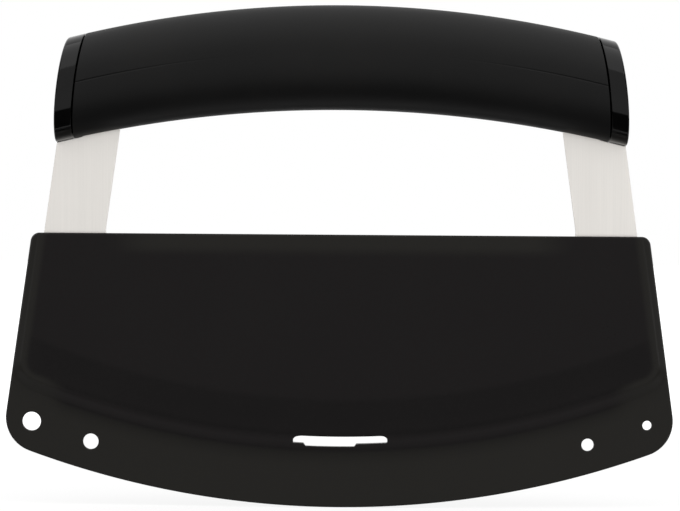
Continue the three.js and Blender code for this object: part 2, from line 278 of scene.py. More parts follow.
def sheathPlastic():
    look = sheathFinish
    material, tree = newMaterial("sheathPlastic")
    spot = objectSpot(tree)
    x, _, z = axesOf(spot)
    across = abs(x)
    radius = fromCentre(x, z)
    gap = bandGap(across, z, radius)
    first, last = look["paintedBandTones"][0][0], look["paintedBandTones"][-1][0]
    stops = [((at - first) / (last - first), tinted(tone, look["bareTint" if at < 0 else "steelShadeTint"]))
             for at, tone in look["paintedBandTones"]]
    share = (gap - first * mm) / ((last - first) * mm)
    # painted shade and a painted highlight along the band
    tone = Signal.add(tree, "ShaderNodeValToRGB", {"stops": stops}, {0: share})
    bare = tinted(look["bare"], look["bareTint"])
    steelShadeTone = tinted(look["steelShadeTone"], look["steelShadeTint"])
    # painted shade where the blade stands behind the wall
    tone = mixTones(radius.ease(*look["steelShadeReach"]), tone, steelShadeTone)
    # painted light where no steel stands behind the wall, and in strips along the sides
    backlitWindow = across.ease(*look["backlitWindowAcross"]) * z.ease(*look["backlitWindowRise"])
    litSideStrip = gap.ease(*look["litStripGap"]) * across.ease(*look["litStripAcross"])
    tone = mixTones(backlitWindow.atLeast(litSideStrip * look["litStripShare"]), tone, bare)
    cloud = noise(spot, look["cloudScale"])
    speck = noise(spot, look["speckScale"], 2.0)
    rub = cloud * 0.5 + speck * 0.5
    tone = mixTones(rub.ease(*look["rubbed"]) * look["rubShare"], tone, bare)
    flange = gap.ease(*look["flangeGap"])
    rough = look["faceRoughness"] + flange * (look["flangeRoughness"] - look["faceRoughness"])
    rough = rough + (cloud - 0.5) * look["cloudRoughness"] + (speck - 0.5) * look["speckRoughness"]
    grain = noise(spot, look["grainScale"], 2.0)
    principled(tree, {
        "Base Color": tone,
        "Roughness": rough,
        "Specular IOR Level": look["specular"],
        "Normal": bump(grain, look["grainHeight"], look["grainStrength"]),
    })
    return material


# satin stainless sheet with a grain along the legs, and a ground bevel
steelFinish = {
    "light": 0.730,
    "dark": 0.684,
    "bevel": 0.60,
    "tint": (1.035, 1, 0.952),
    "fineGrain": (2600, 2600, 26),
    "broadGrain": (420, 420, 9),
    "blotchScale": 60.0,
    "grainShares": (0.6, 0.2, 0.2),
    "grainTones": (0.3, 0.7),
    "bevelBlend": 0.1 * mm,
    "bevelShare": 0.7,
    "bevelGrain": 0.4,
    "bevelCalm": 0.7,
    "roughness": 0.40,
    "bevelRoughness": 0.37,
    "fineRoughness": 0.16,
    "blotchRoughness": 0.10,
    "scratchHeight": 0.004 * mm,
    "scratchStrength": 0.5,
}


def brushedSteel():
    look = steelFinish
    material, tree = newMaterial("brushedSteel")
    spot = objectSpot(tree)
    x, _, z = axesOf(spot)
    fine = noise(stretched(spot, look["fineGrain"]), 1.0, 4.0, 0.6)
    broad = noise(stretched(spot, look["broadGrain"]), 1.0)
    blotch = noise(spot, look["blotchScale"])
    fineShare, broadShare, blotchShare = look["grainShares"]
    grain = fine * fineShare + broad * broadShare + blotch * blotchShare
    dark, light, bevel = (tinted(look[name], look["tint"]) for name in ("dark", "light", "bevel"))
    tone = mixTones(grain.ease(*look["grainTones"]), dark, light)
    bevelTop = bladeSizes["edgeRadius"] - bladeSizes["bevelWidth"]
    ground = fromCentre(x, z).ease(bevelTop - look["bevelBlend"], bevelTop + look["bevelBlend"])
    tone = mixTones(ground * (look["bevelShare"] + fine * look["bevelGrain"]), tone, bevel)
    rough = look["roughness"] + ground * (look["bevelRoughness"] - look["roughness"])
    uneven = (fine - 0.5) * look["fineRoughness"] + (blotch - 0.5) * look["blotchRoughness"]
    calmer = 1 - look["bevelCalm"] * ground  # the grain is weaker on the bevel
    principled(tree, {
        "Base Color": tone,
        "Metallic": 1.0,
        "Roughness": rough + uneven * calmer,
        "Normal": bump(fine * calmer, look["scratchHeight"], look["scratchStrength"]),
    })
    return material


# soft-touch rubber
gripFinish = {
    "tone": 0.0056,
    "dust": 0.0086,
    "dustTint": (1.04, 1, 0.96),
    "cloudScale": 34.0,
    "speckScale": 1500.0,
    "handled": (0.35, 0.8),
    "handledShare": 0.6,
    "dusty": (0.5, 0.9),
    "dustyShare": 0.4,
    "specular": 0.115,
    "roughness": 0.52,
    "cloudRoughness": 0.14,
    "speckRoughness": 0.06,
    "pebbleScale": 3400.0,
    "pebbleHeight": 0.020 * mm,
    "pebbleStrength": 0.4,
}


def gripRubber():
    look = gripFinish
    material, tree = newMaterial("gripRubber")
    spot = objectSpot(tree)
    cloud = noise(spot, look["cloudScale"], 4.0)
    speck = noise(spot, look["speckScale"], 2.0)
    pebble = noise(spot, look["pebbleScale"], 2.0)
    handled = cloud.ease(*look["handled"]) * look["handledShare"]
    dusty = speck.ease(*look["dusty"]) * look["dustyShare"]
    dust = tinted(look["dust"], look["dustTint"])
    rough = look["roughness"] + (cloud - 0.5) * look["cloudRoughness"]
    principled(tree, {
        "Base Color": mixTones(handled + dusty, tinted(look["tone"]), dust),
        "Roughness": rough + (speck - 0.5) * look["speckRoughness"],
        "Specular IOR Level": look["specular"],
        "Normal": bump(pebble, look["pebbleHeight"], look["pebbleStrength"]),
    })
    return material


# polished plastic with a little handling haze
capFinish = {
    "tone": 0.0022,
    "haze": 0.0045,
    "hazeTint": (1.05, 1, 0.95),
    "cloudScale": 70.0,
    "hazy": (0.4, 0.8),
    "dulled": (0.45, 0.8),
    "wipes": (900, 900, 120),
    "specular": 0.185,
    "roughness": 0.09,
    "dulledRoughness": 0.06,
    "wipeRoughness": 0.04,
    "waveHeight": 0.01 * mm,
    "waveStrength": 0.3,
}


def polishedCap():
    look = capFinish
    material, tree = newMaterial("polishedCap")
    spot = objectSpot(tree)
    cloud = noise(spot, look["cloudScale"], 4.0)
    wipe = noise(stretched(spot, look["wipes"]), 1.0)
    haze = tinted(look["haze"], look["hazeTint"])
    rough = look["roughness"] + cloud.ease(*look["dulled"]) * look["dulledRoughness"]
    principled(tree, {
        "Base Color": mixTones(cloud.ease(*look["hazy"]), tinted(look["tone"]), haze),
        "Roughness": rough + (wipe - 0.5) * look["wipeRoughness"],
        "Specular IOR Level": look["specular"],
        "Normal": bump(cloud, look["waveHeight"], look["waveStrength"]),
    })
    return material


# hidden moulding inside the handle
coreFinish = {
    "tone": 0.014,
    "pale": 0.026,
    "flow": (30, 90, 90),
    "flowTones": (0.3, 0.7),
    "roughness": 0.5,
    "flowRoughness": 0.2,
    "grainScale": 3000.0,
    "grainHeight": 0.02 * mm,
    "grainStrength": 0.4,
}


def corePlastic():
    look = coreFinish
    material, tree = newMaterial("corePlastic")
    spot = objectSpot(tree)
    flow = noise(stretched(spot, look["flow"]), 1.0)
    grain = noise(spot, look["grainScale"], 2.0)
    principled(tree, {
        "Base Color": mixTones(flow.ease(*look["flowTones"]), tinted(look["tone"]), tinted(look["pale"])),
        "Roughness": look["roughness"] + (flow - 0.5) * look["flowRoughness"],
        "Normal": bump(grain, look["grainHeight"], look["grainStrength"]),
    })
    return material


# flat outlines, as arrays of (x, z) points that run counter-clockwise seen from the front
def arcPath(centre, radius, start, end, spacing):
    count = max(5, math.ceil(abs(end - start) * radius / spacing))
    return [(centre[0] + radius * math.cos(a), centre[1] + radius * math.sin(a))
            for a in np.linspace(start, end, count + 1)]


def closedLoop(halfPath, spacing):
    # the right half, from the middle below to the middle above, is filled in and mirrored
    path = [halfPath[0]]
    for point in halfPath[1:]:
        last = path[-1]
        length = math.dist(last, point)
        if length < tiny:
            continue
        steps = math.ceil(length / spacing)
        path += [(last[0] + (point[0] - last[0]) * i / steps, last[1] + (point[1] - last[1]) * i / steps)
                 for i in range(1, steps + 1)]
    left = [(-x, z) for x, z in path[-2:0:-1]]
    return np.array(path + left)


def cornerCentre(side, top, tilt, radius, corner):
    # centre of the round corner between a leaning side and a low arc
    reach = side * math.cos(tilt) + (top - arcCentre) * math.sin(tilt) - corner
    drop = math.sqrt((radius - corner) ** 2 - reach ** 2)
    return (reach * math.cos(tilt) + drop * math.sin(tilt),
            arcCentre + reach * math.sin(tilt) - drop * math.cos(tilt))


def lowerEdge(side, top, tilt, radius, corner, spacing):
    cornerAt = cornerCentre(side, top, tilt, radius, corner)
    turn = math.atan2(cornerAt[1] - arcCentre, cornerAt[0])
    path = arcPath((0, arcCentre), radius, -math.pi / 2, turn, spacing)
    return path + arcPath(cornerAt, corner, turn, tilt, min(spacing, corner / 10))


def crescent(side, top, tilt, radius, corner, topCorner, spacing):
    path = lowerEdge(side, top, tilt, radius, corner, spacing)
    topAt = (side + topCorner * (math.sin(tilt) - 1) / math.cos(tilt), top - topCorner)
    path += arcPath(topAt, topCorner, tilt, math.pi / 2, min(spacing, topCorner / 8))
    return closedLoop(path + [(0, top)], spacing)


def insetLoop(loop, by):
    ahead = np.roll(loop, -1, axis=0) - loop
    ahead /= np.linalg.norm(ahead, axis=1, keepdims=True)
    leftOf = np.stack([-ahead[:, 1], ahead[:, 0]], axis=1)
    inward = leftOf + np.roll(leftOf, 1, axis=0)
    inward /= np.linalg.norm(inward, axis=1, keepdims=True)
    return loop + by * inward / (inward * leftOf).sum(axis=1, keepdims=True)


def gapInside(loop, spots):
    # distance from each spot to the loop, negative outside it
    nearest = np.full(len(spots), np.inf)
    inside = np.zeros(len(spots), bool)
    for start, end in zip(loop, np.roll(loop, -1, axis=0)):
        along = end - start
        share = np.clip((spots - start) @ along / (along @ along), 0, 1)
        nearest = np.minimum(nearest, np.linalg.norm(spots - start - share[:, None] * along, axis=1))
        if along[1]:
            crossing = start[0] + along[0] * (spots[:, 1] - start[1]) / along[1]
            level = (start[1] > spots[:, 1]) != (end[1] > spots[:, 1])
            inside ^= level & (spots[:, 0] < crossing)
    return np.where(inside, nearest, -nearest)


# meshes
def meshObject(name, vertices, faces):
    mesh = bpy.data.meshes.new(name)
    mesh.from_pydata([tuple(v) for v in vertices], [], [tuple(f) for f in faces])
    piece = bpy.data.objects.new(name, mesh)
    bpy.context.scene.collection.objects.link(piece)
    return piece


def plateSkin(name, outline, contours, halfAt, holes=()):
    # fills nested contours with triangles, lifts both faces to half the thickness and closes the rim
    rimRoom = 0.01 * mm
    spots, edges = [], []
    for loop in [outline, *contours, *holes]:
        kept = np.ones(len(loop), bool) if loop is outline else gapInside(outline, loop) > rimRoom
        number = np.full(len(loop), -1)
        number[kept] = len(spots) + np.arange(kept.sum())
        spots.extend(loop[kept])
        edges += [(a, b) for a, b in zip(number, np.roll(number, -1)) if a >= 0 and b >= 0]
    flat = [Vector(spot) for spot in spots]
    edges = [tuple(map(int, edge)) for edge in edges]
    flat, _, triangles = delaunay_2d_cdt(flat, edges, [], 0, tiny)[:3]
    flat = np.array(flat)
    triangles = np.array(triangles)
    middles = flat[triangles].mean(axis=1)
    keep = gapInside(outline, middles) > 0
    for hole in holes:
        keep &= gapInside(hole, middles) < 0
    triangles = triangles[keep]
    used = np.unique(triangles)
    triangles = np.searchsorted(used, triangles)
    flat = flat[used]
    half = halfAt(flat)
    count = len(flat)
    front = np.stack([flat[:, 0], -half, flat[:, 1]], axis=1)
    back = front * (1, -1, 1)
    sides = {}
    for a, b, c in triangles:
        for pair in ((a, b), (b, c), (c, a)):
            if pair[::-1] in sides:
                del sides[pair[::-1]]
            else:
                sides[pair] = True
    rim = [(b, a, a + count, b + count) for a, b in sides]
    faces = [*triangles, *(triangles[:, ::-1] + count), *rim]
    return meshObject(name, np.concatenate([front, back]), faces)


def slab(name, loop, half):
    count = len(loop)
    front = [(x, -half, z) for x, z in loop]
    back = [(x, half, z) for x, z in loop]
    ring = range(count)
    walls = [((i + 1) % count, i, i + count, (i + 1) % count + count) for i in ring]
    return meshObject(name, front + back, [tuple(ring), tuple(i + count for i in reversed(ring)), *walls])


def roundedHalf(half, gap, radius):
    # half the thickness next to a rounded rim, which leaves at least a tenth of it upright
    radius = np.minimum(radius, 0.9 * half)
    inward = np.clip(gap / radius, 0, 1)
    return half - radius + radius * np.sqrt(1 - (1 - inward) ** 2)


def settle(piece):
    # the evaluated shape becomes the mesh: doubles merged, stray faces out, normals outwards
    graph = bpy.context.evaluated_depsgraph_get()
    shape = bpy.data.meshes.new_from_object(piece.evaluated_get(graph))
    piece.modifiers.clear()
    piece.data = shape
    work = bmesh.new()
    work.from_mesh(shape)
    bmesh.ops.remove_doubles(work, verts=work.verts, dist=10 * tiny)
    bmesh.ops.dissolve_degenerate(work, edges=work.edges, dist=tiny)
    stray = [face for face in work.faces if all(len(edge.link_faces) == 1 for edge in face.edges)]
    bmesh.ops.delete(work, geom=stray, context="FACES")
    bmesh.ops.recalc_face_normals(work, faces=work.faces)
    work.to_mesh(shape)
    work.free()
    return piece


def carve(piece, cutters):
    for cutter in cutters:
        change = piece.modifiers.new("carve", "BOOLEAN")
        change.operation = "DIFFERENCE"
        change.solver = "EXACT"
        change.object = cutter
    settle(piece)
    for cutter in cutters:
        bpy.data.objects.remove(cutter)
    return piece


sharpTurn = math.radians(38)  # edges that turn by more stay sharp


def handOver(piece, body, slotName, node):
    piece.data.materials.clear()
    piece.data.materials.append(finishes[slotName])
    piece.data.shade_smooth()
    piece.data.set_sharp_from_angle(angle=sharpTurn)
    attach(piece, body)
    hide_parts(node)
    check = bmesh.new()
    check.from_mesh(piece.data)
    loose = sum(not edge.is_manifold for edge in check.edges)
    check.free()
    print(piece.name, len(piece.data.polygons), "faces,", loose, "open edges")


# a Geometry Nodes tree with its named inputs
def newTree(name, sizes):
    tree = bpy.data.node_groups.new(name, "GeometryNodeTree")
    tree.interface.new_socket("Geometry", in_out="INPUT", socket_type="NodeSocketGeometry")
    tree.interface.new_socket("Geometry", in_out="OUTPUT", socket_type="NodeSocketGeometry")
    for label in sizes:
        tree.interface.new_socket(label, in_out="INPUT", socket_type="NodeSocketFloat")
    given = Signal.add(tree, "NodeGroupInput")
    return tree, given, [given.beside(label) for label in sizes]


def endTree(geometry, material):
    tree = geometry.tree
    solid = Signal.add(tree, "GeometryNodeRealizeInstances", None, {0: geometry})
    shaped = Signal.add(tree, "GeometryNodeSetMaterial", None, {"Geometry": solid, "Material": material})
    plugIn("NodeGroupOutput", shaped)


def growBy(piece, tree, sizes):
    change = piece.modifiers.new(tree.name, "NODES")
    change.node_group = tree
    for item in tree.interface.items_tree:
        if item.in_out == "INPUT" and item.name in sizes:
            change[item.identifier] = float(sizes[item.name])
    return settle(piece)


def moved(geometry, place):
    sockets = {"Geometry": geometry, "Position": place}
    return Signal.add(geometry.tree, "GeometryNodeSetPosition", None, sockets)


def cutBy(solid, points, cutter, sockets):
    # takes a copy of the cutter at each point out of the solid
    tree = solid.tree
    sockets = {"Points": points, "Instance": cutter, **sockets}
    copies = Signal.add(tree, "GeometryNodeInstanceOnPoints", None, sockets)
    copies = Signal.add(tree, "GeometryNodeRealizeInstances", None, {0: copies})
    exactly = {"operation": "DIFFERENCE", "solver": "EXACT"}
    return Signal.add(tree, "GeometryNodeMeshBoolean", exactly, {"Mesh 1": solid, "Mesh 2": copies})


# blade sheath: a flat flange, a raised pocket and a soft band between them
sheathSizes = {
    "cornerRadius": 11.5 * mm,
    "mouthCorner": 3 * mm,
    "flangeThickness": 2.4 * mm,
    "flangeDepth": 18.2 * mm,
    "pocketRise": 2 * mm,
    "pocketCorner": 10 * mm,
    "bandWidth": 4 * mm,
    "sideBand": 3 * mm,
    "bandFillet": 0.30,
    "rimRadius": 0.7 * mm,
    "rimTurns": (18, 36, 54, 72, 90),
    "rimGuard": 1.35,
    "spacing": 1.3 * mm,
    "roomHalf": 1.35 * mm,
    "floorWall": 2.4 * mm,
    "seatRise": 3.2 * mm,
    "seatLength": 9 * mm,
    "endClearance": 0.4 * mm,
    "roomCorner": 5.3 * mm,
    "roomPast": 2 * mm,
    "overlap": 0.05 * mm,
    "sidestep": 0.3 * mm,
    "ribInset": 11 * mm,
    "mouthLead": 1.2 * mm,
    "mouthFlare": 0.8 * mm,
}
# drain slot at the foot of the pocket, with a notch along its lower edge
drainSizes = {
    "left": -14.8 * mm,
    "right": 15.4 * mm,
    "height": 2.4 * mm,
    "lift": 2.1 * mm,
    "leftCorner": 3.4 * mm,
    "rightCorner": 2.6 * mm,
    "cornerHeight": 1.8 * mm,
    "lowLeftCorner": 0.25 * mm,
    "lowRightCorner": 0.45 * mm,
    "notchLeft": -10.8 * mm,
    "notchRight": 4.8 * mm,
    "notchDepth": 0.9 * mm,
    "notchSlope": 0.7 * mm,
    "cutHalf": 8 * mm,
}
# ribs on both inner faces, which steady the blade
ribSizes = {
    "End Spot": 0,
    "Middle Spot": 28.5 * mm,
    "Width": 2 * mm,
    "Stand": 0.3 * mm,
    "Wall": sheathSizes["roomHalf"],
    "Top": sheathTop - 6 * mm,
    "Lead": 4 * mm,
}


def softStep(share, fillet):
    # a straight slope from 0 to 1 with rounded ends
    t = np.clip(share, 0, 1)
    foot = t ** 2 / (2 * fillet * (1 - fillet))
    brow = 1 - (1 - t) ** 2 / (2 * fillet * (1 - fillet))
    middle = (t - fillet / 2) / (1 - fillet)
    return np.where(t < fillet, foot, np.where(t > 1 - fillet, brow, middle))


def sheathSkin():
    s = sheathSizes
    outline = crescent(mouthHalf, sheathTop, lean, arcCentre, s["cornerRadius"], s["mouthCorner"],
                       s["spacing"])
    pastMouth = sheathTop + 2 * s["pocketCorner"]
    footRadius = arcCentre - s["flangeDepth"]
    foot = crescent(sideX(pastMouth) + s["bandWidth"] - s["sideBand"], pastMouth, lean, footRadius,
                    s["pocketCorner"], s["pocketCorner"], s["spacing"])

    def halfAt(spots):
        rise = softStep(gapInside(foot, spots) / s["bandWidth"], s["bandFillet"])
        half = s["flangeThickness"] / 2 + s["pocketRise"] * rise
        return roundedHalf(half, np.maximum(gapInside(outline, spots), 0), s["rimRadius"])

    rimShares = [1 - math.cos(math.radians(a)) for a in s["rimTurns"]] + [s["rimGuard"]]
    rims = [insetLoop(outline, s["rimRadius"] * share) for share in rimShares]
    bandShares = [*np.linspace(-0.1, 1.1, 19), 1.4, 1.8]
    band = [insetLoop(foot, s["bandWidth"] * share) for share in bandShares]
    return plateSkin("sheath_moulding", outline, rims + band, halfAt)


def bladeRoom():
    # deep under the edge, with a shallower seat for each corner of the blade
    s = sheathSizes
    bladeHalf = legOuterX(sheathTop - bladeSizes["topDepth"])
    roomEnd = bladeHalf + s["endClearance"]
    floorRadius = arcCentre - s["flangeDepth"] - s["floorWall"]
    seatRadius = floorRadius - s["seatRise"]
    above = sheathTop + s["roomPast"]
    deep = lowerEdge(bladeHalf - s["seatLength"], above, 0, floorRadius, s["roomCorner"], s["spacing"])
    deep = [(x, z) for x, z in deep if math.hypot(x, z - arcCentre) > seatRadius + s["overlap"]]
    seat = lowerEdge(roomEnd, above, 0, seatRadius, s["roomCorner"], s["spacing"])
    seat = [(x, z) for x, z in seat if x > deep[-1][0] + s["sidestep"]]
    outline = closedLoop(deep + seat + [(roomEnd, above), (0, above)], s["spacing"])
    ribSizes["End Spot"] = bladeHalf - s["ribInset"]
    room = growBy(slab("room", outline, s["roomHalf"]), bladeRibs(), ribSizes)
    low, high = sheathTop - s["mouthLead"], sheathTop + s["mouthLead"]
    narrow, wide = s["roomHalf"] - s["overlap"], s["roomHalf"] + 2 * s["mouthFlare"]
    section = [(-narrow, low), (narrow, low), (wide, high), (-wide, high)]
    reach = roomEnd + s["sidestep"]
    corners = [(x, y, z) for x in (-reach, reach) for y, z in section]
    walls = [(i, (i + 1) % 4, (i + 1) % 4 + 4, i + 4) for i in range(4)]
    return [room, meshObject("mouth", corners, [(3, 2, 1, 0), (4, 5, 6, 7), *walls])]


def bladeRibs():
    # takes the ribs out of the solid that hollows the sheath, so that they are left standing
    tree, given, sizes = newTree("bladeRibs", ribSizes)
    endSpot, middleSpot, width, stand, wall, top, lead = sizes
    perFace = 4
    leadShare = 1.2  # how far a rib's upper end leans back, against its stand
    row = Signal.add(tree, "GeometryNodeMeshLine", None, {"Count": 2 * perFace})
    index = Signal.add(tree, "GeometryNodeInputIndex")
    across = index.math("MODULO", perFace) - (perFace - 1) / 2
    spot = middleSpot + (endSpot - middleSpot) * abs(across).math("GREATER_THAN", 1.0)
    turned = index.math("GREATER_THAN", perFace - 0.5)
    row = moved(row, combine(across.math("SIGN") * spot, 0.0, 0.0))
    bar = Signal.add(tree, "GeometryNodeMeshCube", None,
                     {"Size": (1, 1, 1), "Vertices X": 2, "Vertices Y": 2, "Vertices Z": 3})
    x, y, z = axesOf(Signal.add(tree, "GeometryNodeInputPosition"))
    front = y.math("LESS_THAN", 0.0)
    upper = z.math("GREATER_THAN", 0.25)
    depth = wall + stand - front * 2 * stand + front * upper * leadShare * stand
    height = z.math("GREATER_THAN", -0.25) * (top - lead) + upper * lead
    bar = moved(bar, combine(x * width, depth, height))
    ribbed = cutBy(given, row, bar, {"Rotation": combine(0.0, 0.0, turned * math.pi)})
    endTree(ribbed, finishes["sheath"])
    return tree


def softCorner(start, corner, end):
    # a curve that leaves and reaches the two points along the sides of the sharp corner
    start, corner, end = (np.array(point) for point in (start, corner, end))
    return [tuple((1 - t) ** 2 * start + 2 * t * (1 - t) * corner + t ** 2 * end)
            for t in np.linspace(0, 1, 9)]


def drainCutter():
    # both long edges run along the flange's curve, and the upper corners are cut round
    d = drainSizes
    low = arcCentre - sheathSizes["flangeDepth"] - d["lift"]
    high = low - d["height"]
    deep = low + d["notchDepth"]
    left, right = d["left"], d["right"]

    def onArc(x, radius):
        return (x, arcCentre - math.sqrt(radius ** 2 - x ** 2))

    def along(radius, start, end):
        return [onArc(x, radius) for x in np.linspace(start, end, 12)]

    innerLeft, innerRight = left + d["leftCorner"], right - d["rightCorner"]
    under = high + d["cornerHeight"]
    tight = d["lowLeftCorner"]
    path = softCorner(onArc(left, low - tight), onArc(left, low), onArc(left + tight, low))
    path += along(low, left + 2 * tight, d["notchLeft"] - d["notchSlope"])
    path += along(deep, d["notchLeft"], d["notchRight"])
    tight = d["lowRightCorner"]
    path += along(low, d["notchRight"] + d["notchSlope"], right - 2 * tight)
    path += softCorner(onArc(right - tight, low), onArc(right, low), onArc(right, low - tight))
    path += softCorner(onArc(right, under), onArc(right, high), onArc(innerRight, high))
    path += along(high, innerRight, innerLeft)[1:-1]
    path += softCorner(onArc(innerLeft, high), onArc(left, high), onArc(left, under))
    return slab("drain", np.array(path), d["cutHalf"])


# herb-stripping holes: four along the flange, each a millimetre smaller than the one before
holeSizes = {
    "Row Radius": 281.5 * mm,
    "Edge Angle": 0,
    "First Inset": 8.75 * mm,
    "Pitch": 20 * mm,
    "Largest": 6 * mm,
    "Step": 1 * mm,
    "Flange Half": sheathSizes["flangeThickness"] / 2,
    "Rim": 0.35 * mm,
    "Rim Share": 0.07,
}
holeSizes["Edge Angle"] = lean - math.acos(sideX(arcCentre) * math.cos(lean) / holeSizes["Row Radius"])


def herbHoles():
    tree, given, sizes = newTree("herbHoles", holeSizes)
    rowRadius, edgeAngle, firstInset, pitch, largest, step, flangeHalf, rim, rimShare = sizes
    row = Signal.add(tree, "GeometryNodeMeshLine", None, {"Count": 4})
    index = Signal.add(tree, "GeometryNodeInputIndex")
    middle = 1.5
    fromMiddle = index - middle
    inset = firstInset + pitch * (middle - abs(fromMiddle))
    angle = edgeAngle - inset / rowRadius
    row = moved(row, combine(fromMiddle.math("SIGN") * rowRadius * angle.math("COSINE"), 0.0,
                             arcCentre + rowRadius * angle.math("SINE")))
    rod = Signal.add(tree, "GeometryNodeMeshCylinder", None,
                     {"Vertices": 72, "Side Segments": 40, "Radius": 0.5, "Depth": 2.0})
    x, y, z = axesOf(Signal.add(tree, "GeometryNodeInputPosition"))
    # outwards along the rod: the straight wall, the rounded rim, then the open
    wallEnd, rimEnd, openReach = 0.2, 0.8, 8 * mm
    share = abs(z)
    turn = ((share - wallEnd) / (rimEnd - wallEnd)).atLeast(0).atMost(1) * (math.pi / 2)
    straight = (flangeHalf - rim) * (share / wallEnd).atMost(1)
    depth = straight + rim * turn.math("SINE") + (share - rimEnd).atLeast(0) * openReach
    flare = 1 + 2 * rimShare * (1 - turn.math("COSINE"))
    rod = moved(rod, combine(x * flare, -(z.math("SIGN") * depth), y * flare))
    diameter = largest - step * index
    pierced = cutBy(given, row, rod, {"Scale": combine(diameter, 1.0, diameter)})
    endTree(pierced, finishes["sheath"])
    return tree


# blade: sheet steel with two legs, a tang on each and a ground edge
bladeSizes = {
    "thickness": 1.5 * mm,
    "edgeThickness": 0.1 * mm,
    "edgeRadius": 266.5 * mm,
    "bevelWidth": 10 * mm,
    "bevelSoft": 0.15 * mm,
    "corner": 5 * mm,
    "topDepth": 6.8 * mm,
    "legFillet": 8 * mm,
    "filletSpacing": 0.6 * mm,
    "legSeat": 1.5 * mm,
    "seatInset": 1.2 * mm,
    "tangWidth": 9.3 * mm,
    "tangHeight": 21.5 * mm,
    "rimRadius": 0.16 * mm,
    "rimShares": (0.1, 0.35, 1, 1.5),
    "pinHole": 1.8 * mm,
    "pinSpacing": 0.3 * mm,
    "pinSetback": 4.6 * mm,
    "pinPitch": 8.5 * mm,
    "spacing": 1.5 * mm,
    "socketGap": 0.08 * mm,
}
# inputs of the rule that shapes the sleeve and the caps
gripSizes = {
    "Depth": 31 * mm,
    "Parting Depth": 15.9 * mm,
    "Top Radius": 354 * mm,
    "Underside Radius": 384 * mm,
    "End Radius": 190 * mm,
    "End Axis": 0,
    "Seam": 0,
    "Roundness": 2.2,
    "Groove Depth": 0.21 * mm,
    "Groove Half": 0.32 * mm,
    "Upper Edge": 0.2 * mm,
    "Lower Edge": 0.2 * mm,
}
gripMesh = {"around": 144, "outside": 130, "inside": 60, "capSide": 8, "capFace": 22}
# end caps: their own sizes, and the inputs of the rule that differ from the sleeve's
capSizes = {
    "overhang": 1.95 * mm,
    "thickness": 6.3 * mm,
    "gap": 0.52 * mm,
    "seamDepth": 1.6 * mm,
    "seamEdge": 0.15 * mm,
    "collarFoot": 0.02 * mm,
    "collarDepth": 0.35 * mm,
    "collarInset": 0.04 * mm,
    "sleeveWall": 3.5 * mm,
    "crown": 0.4 * mm,
    "edgeRoom": 0.6 * mm,
    "faceRoom": 3.0 * mm,
    "Upper Edge": 0.8 * mm,
    "Lower Edge": 0.5 * mm,
    "Groove Depth": 0,
}


def undersideAt(x):
    radius = gripSizes["Underside Radius"]
    return gripUnderside - radius + math.sqrt(radius ** 2 - x ** 2)


def topAt(x):
    radius = gripSizes["Top Radius"]
    return gripTop - radius + math.sqrt(radius ** 2 - x ** 2)


def shoulder(legEdge, above):
    # where a leg's edge comes this far above the grip's underside
    z = gripUnderside
    for _ in range(8):
        z = undersideAt(legEdge(z)) + above
    return legEdge(z), z


def gripEnds():
    # height at which the ends are measured, and the stations of the end face and the cap's seam
    c = capSizes
    endAxis = topAt(legOuterX(gripUnderside) - c["thickness"]) - gripSizes["Parting Depth"]
    endStation = legOuterX(endAxis) + c["overhang"]
    return endAxis, endStation, endStation - c["thickness"]


def bladeOutline():
    b = bladeSizes
    top = sheathTop - b["topDepth"]
    path = lowerEdge(legOuterX(top), top, 0, b["edgeRadius"], b["corner"], b["spacing"])
    path.append((legOuterX(top), top))
    tangInner = shoulder(legInnerX, b["legSeat"])
    tangOuter = tangInner[0] + b["tangWidth"]
    tangTop = undersideAt(tangInner[0] + b["tangWidth"] / 2) + b["tangHeight"]
    seatOuter = gripEnds()[2] - b["seatInset"]
    touching = -0.02 * mm  # the leg's outer part butts against the cap
    path += [shoulder(legOuterX, touching), (seatOuter, undersideAt(seatOuter) + touching)]
    path += [(x, undersideAt(x) + b["legSeat"]) for x in (seatOuter, tangOuter)]
    path += [(tangOuter, tangTop), (tangInner[0], tangTop), tangInner]
    filletZ = top + b["legFillet"]
    filletX = legInnerX(filletZ) - b["legFillet"] / math.cos(lean)
    path += arcPath((filletX, filletZ), b["legFillet"], lean, -math.pi / 2, b["filletSpacing"])
    return closedLoop(path + [(0, top)], b["spacing"]), tangInner[0] + b["tangWidth"] / 2, tangTop


def chopperSteel():
    b = bladeSizes
    outline, tangMiddle, tangTop = bladeOutline()
    bevelTop = b["edgeRadius"] - b["bevelWidth"]

    def halfAt(spots):
        radius = np.hypot(spots[:, 0], spots[:, 1] - arcCentre)
        ground = np.clip((radius - bevelTop) / b["bevelWidth"], 0, 1)
        half = b["thickness"] / 2 + ground * (b["edgeThickness"] - b["thickness"]) / 2
        return roundedHalf(half, np.maximum(gapInside(outline, spots), 0), b["rimRadius"])

    rims = [insetLoop(outline, b["rimRadius"] * share) for share in b["rimShares"]]
    # lines along the top of the bevel, which run on past the blade's ends
    wide, high, corner = legOuterX(sheathTop - b["topDepth"]) + 3 * mm, sheathTop + 300 * mm, 1 * mm
    bevel = [crescent(wide, high, 0, bevelTop + off, corner, corner, b["spacing"])
             for off in (-b["bevelSoft"], 0, b["bevelSoft"])]
    pins = []
    for x in (-tangMiddle, tangMiddle):
        for z in (tangTop - b["pinSetback"], tangTop - b["pinSetback"] - b["pinPitch"]):
            hole = arcPath((x, z), b["pinHole"], 0, 2 * math.pi, b["pinSpacing"])
            pins.append(np.array(hole[:-1]))
    steel = plateSkin("chopper_steel", outline, rims + bevel, halfAt, pins)
    socket = slab("legSocket", insetLoop(outline, -b["socketGap"]), b["thickness"] / 2 + b["socketGap"])
    return settle(steel), socket


